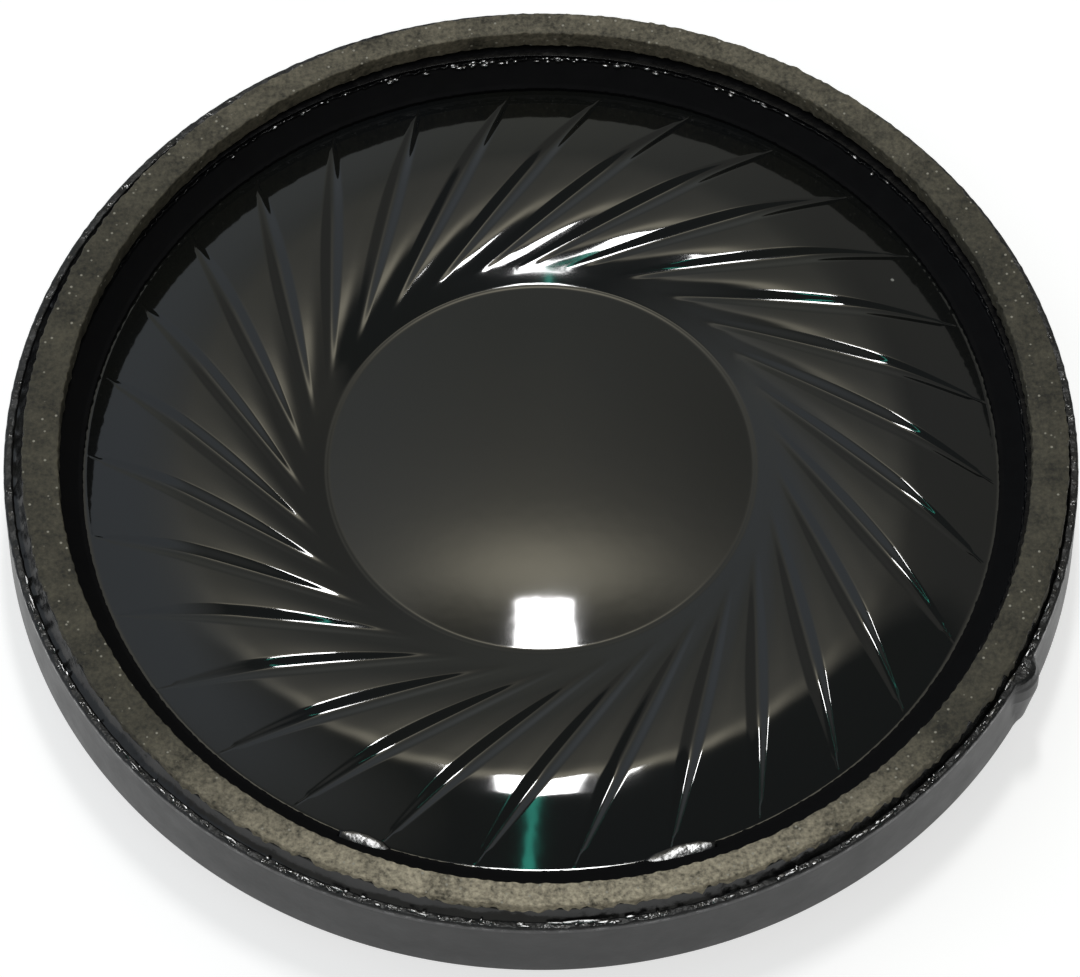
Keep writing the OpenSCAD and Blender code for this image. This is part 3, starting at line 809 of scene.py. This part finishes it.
# %% Basket holes and rivets
def joined(parts):
    """Joins objects into the first of them."""
    bpy.ops.object.select_all(action="DESELECT")
    for part in parts:
        part.select_set(True)
    bpy.context.view_layer.objects.active = parts[0]
    bpy.ops.object.join()
    return parts[0]


drill_places = [(TERMINALS + VENT_STEP * i, VENT_R, VENT_HALF) for i in range(1, VENTS + 1)]
drill_places += [(TERMINALS + side * LEAD_TURN, HOLE_R, HOLE_HALF) for side in (-1, 1)]
drills = [lathe("drill", [(CORE_R, DRILL_HALF), (size, DRILL_HALF), (size, -DRILL_HALF),
                          (CORE_R, -DRILL_HALF)],
                polar(angle, r, (REAR_Z + FLOOR_Z) / 2), basket_finish)
          for angle, r, size in drill_places]
drill = joined(drills)
cut = basket.modifiers.new("holes", "BOOLEAN")
cut.object = drill
cut.solver = "EXACT"
bpy.context.view_layer.objects.active = basket
bpy.ops.object.modifier_apply(modifier=cut.name)
bpy.data.objects.remove(drill)

# Long thin faces meet at the holes, so the level faces are shaded flat.
facing = np.zeros(len(basket.data.polygons) * 3, np.float32)
basket.data.polygons.foreach_get("normal", facing)
basket.data.polygons.foreach_set("use_smooth", np.abs(facing[2::3]) < LEVEL)

rivets = [lathe("rivet", RIVET, polar(TERMINALS + side * RIVET_TURN, RIVET_R, 0), basket_finish)
          for side in (-1, 1)]
basket = joined([basket] + rivets)
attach(basket, "root")
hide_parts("basket")
print("basket faces after the holes:", len(basket.data.polygons))

# %% [markdown]
# ## Drops of glue
# Where glue was squeezed out it dried in small shiny drops: a row along the far part of the clamp
# ring's ledge and a broken line along the near part of the basket's lip. Two smears lie at the
# film's near edge and one on the lip. Each is a flattened ball with a deep root in what it sits
# on, and its top leans a little towards the camera, so that some glint. The ledge's drops lie at
# random distances down its slope, and LEDGE_CROWDING keeps most of them near the edge. Each row
# of SMEARS holds a direction, a radius, a height and three half sizes.

# %% Drop sizes
DROP_ROWS = 5
DROP_COLUMNS = 10
DROP_ROOT = 6
DROP_H = (0.006, 0.014)
GLINT_LEAN = 0.17
LEAN_SPREAD = 0.05
LEDGE_DROPS = 90
LEDGE_ARC = 0.33
LEDGE_BACK = (0.02, 0.3)
LEDGE_CROWDING = 1.5
LEDGE_SIZES = [(0.04, 0.09), (0.05, 0.16), DROP_H]
LEDGE_DROP_RISE = 0.03
LIP_DROPS = 110
LIP_ARC = (-165, -15)
LIP_WIDTHS = (0.05, 0.1)
LIP_LENGTH = 0.06
LIP_STRETCH = (0, 0.6)
LIP_DROP_RISE = (0.01, 0.03)
SMEARS = np.array([[-73.1, FOOT_R + 0.12, FOOT_Z + 0.02, 0.4, 1.5, 0.035],
                   [-111.8, FOOT_R + 0.12, FOOT_Z + 0.02, 0.36, 1.1, 0.035],
                   [-86, LIP_R + 0.05, LIP_Z + 0.02, 0.1, 0.9, 0.01]])
drop_rng = np.random.default_rng(11)
print("drops on the ledge:", LEDGE_DROPS, "on the lip:", LIP_DROPS, "smears:", len(SMEARS))


# %% Glue drops
def droplets(name, angle, r, z, size, lean, finish):
    """Flattened drops at directions, radii and heights; size is half across, along and up.
    Each top leans towards -Y by the slope lean, and its root is DROP_ROOT times as deep."""
    tilt = (np.arange(DROP_ROWS) + 1)[:, None] * np.pi / (DROP_ROWS + 1)
    turn = round_angles(DROP_COLUMNS)[None, :]
    ball = np.stack([np.sin(tilt) * np.cos(turn), np.sin(tilt) * np.sin(turn),
                     np.cos(tilt) + 0 * turn], -1).reshape(-1, 3)
    ball = np.concatenate([ball, [[0, 0, 1], [0, 0, -1]]])
    ball[:, 2] = np.where(ball[:, 2] < 0, DROP_ROOT * ball[:, 2], ball[:, 2])
    local = ball[None] * size[:, None]
    out = r[:, None] + local[..., 0]
    cos, sin = np.cos(angle)[:, None], np.sin(angle)[:, None]
    x = out * cos - local[..., 1] * sin
    y = out * sin + local[..., 1] * cos
    tip = lean[:, None] * (y - (r * np.sin(angle))[:, None])
    points = np.stack([x, y, z[:, None] + local[..., 2] + tip], -1)
    faces, ends = disc_faces(DROP_ROWS, DROP_COLUMNS)
    start = np.arange(len(angle))[:, None, None] * len(ball)
    faces = (faces[None] + start).reshape(-1, 4).tolist()
    ends = (ends[None] + start).reshape(-1, 3).tolist()
    return link(name, points.reshape(-1, 3), faces + ends, finish)


def spread(low, high, count):
    """Random values between two limits."""
    return drop_rng.uniform(low, high, count)


ledge_r = FACE_R - spread(*LEDGE_BACK, LEDGE_DROPS) ** LEDGE_CROWDING
ledge_slope = (LEDGE_Z - FOOT_Z) / (FACE_R - FOOT_R)
ledge_z = LEDGE_Z - (FACE_R - ledge_r) * ledge_slope
ledge_size = np.stack([spread(*limits, LEDGE_DROPS) for limits in LEDGE_SIZES], -1)
ledge_turn = np.pi / 2 + drop_rng.normal(0, LEDGE_ARC, LEDGE_DROPS)
ledge_lean = drop_rng.normal(GLINT_LEAN, LEAN_SPREAD, LEDGE_DROPS)
ledge_drops = droplets("ledge_glue_drops", ledge_turn, ledge_r, ledge_z + LEDGE_DROP_RISE,
                       ledge_size, ledge_lean, glue_finish)

lip_width = spread(*LIP_WIDTHS, LIP_DROPS)
lip_length = LIP_LENGTH + spread(*LIP_STRETCH, LIP_DROPS) ** 2
lip_size = np.stack([lip_width, lip_length, spread(*DROP_H, LIP_DROPS)], -1)
lip_turn = np.radians(spread(*LIP_ARC, LIP_DROPS))
lip_r = spread(LIP_R + 0.04, RIM_R - 0.1, LIP_DROPS)
lip_z = LIP_Z + spread(*LIP_DROP_RISE, LIP_DROPS)
lip_lean = drop_rng.normal(GLINT_LEAN, LEAN_SPREAD, LIP_DROPS)
lip_drops = droplets("lip_glue_drops", lip_turn, lip_r, lip_z, lip_size, lip_lean, glue_finish)

smear_turn, smear_r, smear_z = np.radians(SMEARS[:, 0]), SMEARS[:, 1], SMEARS[:, 2]
smear_lean = np.full(len(SMEARS), GLINT_LEAN)
smears = droplets("glue_smears", smear_turn, smear_r, smear_z, SMEARS[:, 3:], smear_lean,
                  glue_finish)
for piece in (ledge_drops, lip_drops, smears):
    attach(piece, "root")

# %% [markdown]
# ## Magnet system and wires
# The pot, the magnet and its plate are turned steel, so their finish carries fine rings. The lead
# wires are tubes along a smooth path from the coil to the solder joints. They bend with the coil,
# and weights by radius are worked out for them as for the film, but not used.

# %% Metal finishes
def turned_marks(place, scale):
    """Fine rings about the axis, as a lathe or a stamping die leaves them."""
    radius = place.node("VectorMath", {0: place.stretched((1, 1, 0))}, output="Value",
                        operation="LENGTH")
    rings = radius.node("CombineXYZ", {"X": radius})
    return rings.noise(scale, 4, 0.7)


def steel_paint(place):
    """Bright metal with rings and duller clouds."""
    marks = turned_marks(place, 4000)
    dull = place.noise(120, 4)
    return {"Base Color": dull.above(0.35, 0.7).blend(rgb(0.5, 0.51, 0.53), rgb(0.62, 0.63, 0.65)),
            "Roughness": dull * 0.2 + marks * 0.12 + 0.16,
            "Normal": place.bump(marks, 0.25, 0.00001)}


def copper_paint(place):
    """Turns of fine wire, one above the other."""
    turns = place.node("TexWave", {"Vector": place, "Scale": 3200}, bands_direction="Z")
    return {"Roughness": place.noise(800, 2) * 0.2 + 0.15,
            "Normal": place.bump(turns, 0.6, 0.00003)}


steel = material("plated_steel", steel_paint, Metallic=1)
nickel = material("nickel_magnet", steel_paint, Metallic=1)
copper = material("enamelled_copper", copper_paint, Base_Color=rgb(0.55, 0.2, 0.08), Metallic=1,
                  Coat_Weight=0.5)

# %% Magnet pot
POT_TOP = pot_high.z / MM
POT_R = pot_high.x / MM
POT_IN_R = POT_R - 0.98
POT_FLOOR = 0.8
POT_CORE = 0.3
POT_COLUMNS = 256
DIMPLE_R = 1.25
DIMPLE_TOP_R = 1.05
DIMPLE_H = 0.15
cup_rows = [(POT_IN_R, POT_FLOOR, 0.1), (POT_IN_R, POT_TOP, 0.04), (POT_R, POT_TOP, 0.1),
            (POT_R, 0, 0.28), (DIMPLE_R, 0, 0.08), (DIMPLE_TOP_R, DIMPLE_H, 0.06)]
pot_outline = np.concatenate([[(POT_CORE, POT_FLOOR)], rounded(cup_rows), [(POT_CORE, DIMPLE_H)]])
pot = lathe("magnet_cup", pot_outline, (0, 0, 0), steel, POT_COLUMNS)
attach(pot, "root")
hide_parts("magnet_pot")

# %% [markdown]
# Each lead's stops are pairs of radius and height, from the coil over the cup's edge and the
# collar, down through its hole and back under the board to its pad.

# %% Lead wires
WIRE_R = 0.06
WIRE_STEPS = 8
WIRE_COLUMNS = 16
COIL_TOP = coil_high.z / MM
COIL_R = coil_high.x / MM
PAD_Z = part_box("pad_positive")[1].z / MM - 0.04
SOLDER_R = 14.45
wire_stops = np.array([
    [COIL_R + 0.09, COIL_TOP - 0.3], [COIL_R + 0.5, COIL_TOP - 0.22], [POT_R, POT_TOP + 0.34],
    [COLLAR_R + 0.6, POT_TOP + 0.1], [(COLLAR_R + HOLE_R) / 2, FLOOR_Z + 0.9],
    [HOLE_R - 0.5, FLOOR_Z + 0.75], [HOLE_R, FLOOR_Z + 0.3], [HOLE_R, REAR_Z],
    [HOLE_R, BOARD_Z - 0.05], [HOLE_R - 0.3, PAD_Z - 0.08], [SOLDER_R, PAD_Z - 0.06]])


def smooth_path(stops, steps):
    """A curve through the stops by Catmull and Rom's cubic, sampled evenly between them."""
    p = np.concatenate([stops[:1], stops, stops[-1:]])
    u = np.linspace(0, 1, steps, endpoint=False)[None, :, None]
    a, b, c, d = p[:-3, None], p[1:-2, None], p[2:-1, None], p[3:, None]
    curve = 0.5 * (2 * b + (c - a) * u + (2 * a - 5 * b + 4 * c - d) * u ** 2
                   + (3 * b - a - 3 * c + d) * u ** 3)
    return np.concatenate([curve.reshape(-1, 2), stops[-1:]])


def wire(name, angle):
    """A tube in the upright plane at an angle: rings of points square to the path's direction."""
    path = smooth_path(wire_stops, WIRE_STEPS)
    way = np.gradient(path, axis=0)
    way = way / np.linalg.norm(way, axis=1, keepdims=True)
    side = round_angles(WIRE_COLUMNS)[None, :]
    out = path[:, 0:1] - way[:, 1:2] * np.cos(side) * WIRE_R
    rise = path[:, 1:2] + way[:, 0:1] * np.cos(side) * WIRE_R
    across = 0 * out - np.sin(side) * WIRE_R
    turn = math.radians(angle)
    grid = np.stack([out * math.cos(turn) - across * math.sin(turn),
                     out * math.sin(turn) + across * math.cos(turn), rise], -1)
    made = disc(name, grid, copper)
    points = mesh_points(made)
    blend_by(made, ease((HOLE_R - np.hypot(points[:, 0], points[:, 1])) / (HOLE_R - COIL_R)))
    return made


for sign, side in (("positive", 1), ("negative", -1)):
    lead = wire("lead_" + sign, TERMINALS + side * LEAD_TURN)
    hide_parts("lead_wire_" + sign)


# %% [markdown]
# ## The terminals
# At the back a brown laminate board carries two tinned pads with bright solder on them, and a
# dot of red paint marks the positive one.

# %% Finishes of the small parts
def board_paint(place):
    """Brown laminate with its fibres drawn out along Y."""
    fibres = place.stretched((1, 0.2, 1)).noise(900, 5)
    return {"Base Color": fibres.blend(rgb(0.16, 0.075, 0.022), rgb(0.33, 0.18, 0.07)),
            "Roughness": fibres * 0.2 + 0.35, "Normal": place.bump(fibres, 0.4, 0.00002)}


def tin_paint(place):
    """The uneven gloss of something that was once liquid."""
    flow = place.noise(700, 3)
    return {"Roughness": flow * 0.25 + 0.15, "Normal": place.bump(flow, 0.5, 0.00003)}


def amber_paint(place):
    """Smooth glue with slow waves."""
    return {"Roughness": place.noise(600, 2) * 0.2 + 0.1,
            "Normal": place.bump(place.noise(300, 2), 0.6, 0.00005)}


def cloth_paint(place):
    """A plain weave: the product of two waves at right angles."""
    warp = place.node("TexWave", {"Vector": place, "Scale": 900}, bands_direction="X")
    weft = place.node("TexWave", {"Vector": place, "Scale": 900}, bands_direction="Y")
    weave = warp * weft
    return {"Base Color": weave.blend(rgb(0.015, 0.015, 0.015), rgb(0.09, 0.09, 0.088)),
            "Roughness": weave * 0.1 + 0.75, "Normal": place.bump(weave, 0.8, 0.00005)}


laminate = material("paper_laminate", board_paint)
tin = material("tinned_foil", tin_paint, Base_Color=rgb(0.72, 0.62, 0.42), Metallic=1)
solder = material("bright_solder", tin_paint, Base_Color=rgb(0.68, 0.68, 0.69), Metallic=1)
amber = material("amber_glue", amber_paint, Base_Color=rgb(0.4, 0.2, 0.04), Coat_Weight=0.5)
cloth = material("damping_cloth", cloth_paint)
red = material("red_paint", tin_paint, Base_Color=rgb(0.5, 0.015, 0.01))

# %% Solder joints
SOLDER_SIZE = 0.85
SOLDER_H = 0.3
SOLDER_POWER = 0.8
slope = np.linspace(0, 1, 10)[::-1]
solder_dome = np.stack([CORE_R + (SOLDER_SIZE - CORE_R) * np.sin(np.pi / 2 * slope),
                        PAD_Z - SOLDER_H * np.cos(np.pi / 2 * slope) ** SOLDER_POWER], -1)
solder_outline = np.concatenate([[(CORE_R, PAD_Z), (SOLDER_SIZE - 0.02, PAD_Z)], solder_dome])
for sign, side in (("positive", 1), ("negative", -1)):
    joint = lathe("solder_" + sign + "_joint", solder_outline,
                  polar(TERMINALS + side * LEAD_TURN, SOLDER_R, 0), solder)
    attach(joint, "root")
    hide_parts("solder_" + sign)

# %% [markdown]
# The rest keeps its CAD shape and only gets a better finish.

# %% Finishes of the CAD nodes
finishes = {"diaphragm_adhesive": glue_finish, "coil_adhesive": amber, "voice_coil": copper,
            "lead_sealant": glue_finish, "magnet_bond": amber, "magnet": nickel,
            "plate_bond": amber, "pole_plate": steel, "pot_adhesive": glue_finish,
            "vent_mesh": cloth, "terminal_board": laminate, "pad_positive": tin,
            "pad_negative": tin, "polarity_mark": red}
for node, finish in finishes.items():
    nodes[node].data.materials.clear()
    nodes[node].data.materials.append(finish)
print("CAD nodes with a better finish:", len(finishes))

# %% [markdown]
# ## Floor and light
# The floor glows a little where a ray meets it straight from the camera or by reflection, so it
# is white with a soft shadow. One softbox hangs almost over the speaker: it makes the square
# highlight on the dome, the band on the roll, and the lines along each groove. A narrow teal
# strip beside it gives the coloured line at the near edge.

# %% Floor
WHITE = rgb(1, 1, 1)
FLOOR_SIZE = 6
FLOOR_GREY = 0.6
FLOOR_GLOW = 0.66


def floor_material():
    """A matt grey that glows in the camera's and in mirrored rays, and lights nothing else."""
    made = bpy.data.materials.new("pale_floor")
    made.use_nodes = True
    tree = made.node_tree
    shader = tree.nodes["Principled BSDF"]
    seen = Field(tree).node("LightPath", {}, output="Is Camera Ray")
    glossy = Field(tree).node("LightPath", {}, output="Is Glossy Ray")
    through = Field(tree).node("LightPath", {}, output="Is Transmission Ray")
    direct = seen.math("MAXIMUM", seen.math("MAXIMUM", seen, glossy), through)
    shader.inputs["Base Color"].default_value = rgb(FLOOR_GREY, FLOOR_GREY, FLOOR_GREY)
    shader.inputs["Roughness"].default_value = 1
    shader.inputs["Emission Color"].default_value = WHITE
    tree.links.new((direct * FLOOR_GLOW).socket, shader.inputs["Emission Strength"])
    return made


bpy.ops.mesh.primitive_plane_add(size=FLOOR_SIZE)
floor = bpy.context.object
floor.name = "floor"
floor.data.materials.append(floor_material())
print("floor height:", floor.location.z)

# %% Lights
KEY_AT = (2, 58, 300)
KEY_SIZE = (26.5, 61)
KEY_POWER = 0.25
STRIP_AT = (-5, -10, 300)
STRIP_SIZE = (4, 76)
STRIP_POWER = 0.004
TEAL = (0.1, 1, 0.75)


def softbox(name, place, size, power, colour=(1, 1, 1)):
    """An area light at a place in millimetres, facing the middle of the speaker."""
    lamp = bpy.data.lights.new(name, "AREA")
    lamp.shape = "RECTANGLE"
    lamp.size = size[0] * MM
    lamp.size_y = size[1] * MM
    lamp.energy = power
    lamp.color = colour
    made = bpy.data.objects.new(name, lamp)
    made.location = [x * MM for x in place]
    away = np.array(place, float)
    made.rotation_euler = (math.atan2(away[1], away[2]) * -1, math.atan2(away[0], away[2]), 0)
    bpy.context.scene.collection.objects.link(made)
    print("light:", name, "at", place)


softbox("key_softbox", KEY_AT, KEY_SIZE, KEY_POWER)
softbox("teal_strip", STRIP_AT, STRIP_SIZE, STRIP_POWER, TEAL)

# %% [markdown]
# The film mirrors the whole room, so the world is painted by direction: x and y below are the
# parts of a ray's direction to the right and away from the camera. The camera itself sees white.

# %% Room
FAR_WALL = rgb(0.4, 0.41, 0.37)
CEILING = rgb(0.6, 0.59, 0.52)
RIGHT_WALL = rgb(0.27, 0.27, 0.25)
LEFT_WALL = rgb(0.5, 0.55, 0.6)
OVERHEAD = rgb(0.09, 0.1, 0.1)
NEAR_WALL = rgb(0.42, 0.42, 0.4)
GLOW = rgb(3, 2.8, 2.2)
GLOW_W = 0.13
GLOW_Y = 0.35
GLOW_H = 0.06
HALO_FALL = 0.25
HALO_SHARE = 0.2


def studio():
    """Warm beyond the speaker, dark overhead, bluish at the left and pale behind the camera, with
    a glow under the key."""
    world = bpy.data.worlds.new("studio")
    bpy.context.scene.world = world
    world.use_nodes = True
    tree = world.node_tree
    way = Field(tree).node("TexCoord", {}, output="Generated")
    x = way.axis("X")
    y = way.axis("Y")
    room = y.above(0.5, 0.72).blend(CEILING, FAR_WALL)
    room = x.above(0.02, 0.3).blend(room, RIGHT_WALL)
    room = x.above(-0.05, -0.5).blend(room, LEFT_WALL)
    overhead = y.above(0.35, 0.29) * x.above(-0.45, -0.12)
    room = overhead.blend(room, OVERHEAD)
    room = y.above(-0.33, -0.48).blend(room, NEAR_WALL)
    across = x / GLOW_W
    along = (y - GLOW_Y) / GLOW_H
    glow = way.math("EXPONENT", 0 - across * across - along * along)
    halo = way.math("EXPONENT", (0 - across * across - along * along) * HALO_FALL)
    seen = way.node("LightPath", {}, output="Is Camera Ray")
    lit = glow.blend((halo * (1 - overhead) * HALO_SHARE).blend(room, GLOW), GLOW)
    tree.links.new(seen.blend(lit, WHITE).socket, tree.nodes["Background"].inputs["Color"])
    print("room nodes:", len(tree.nodes))


studio()
bpy.context.scene.view_settings.view_transform = "Standard"
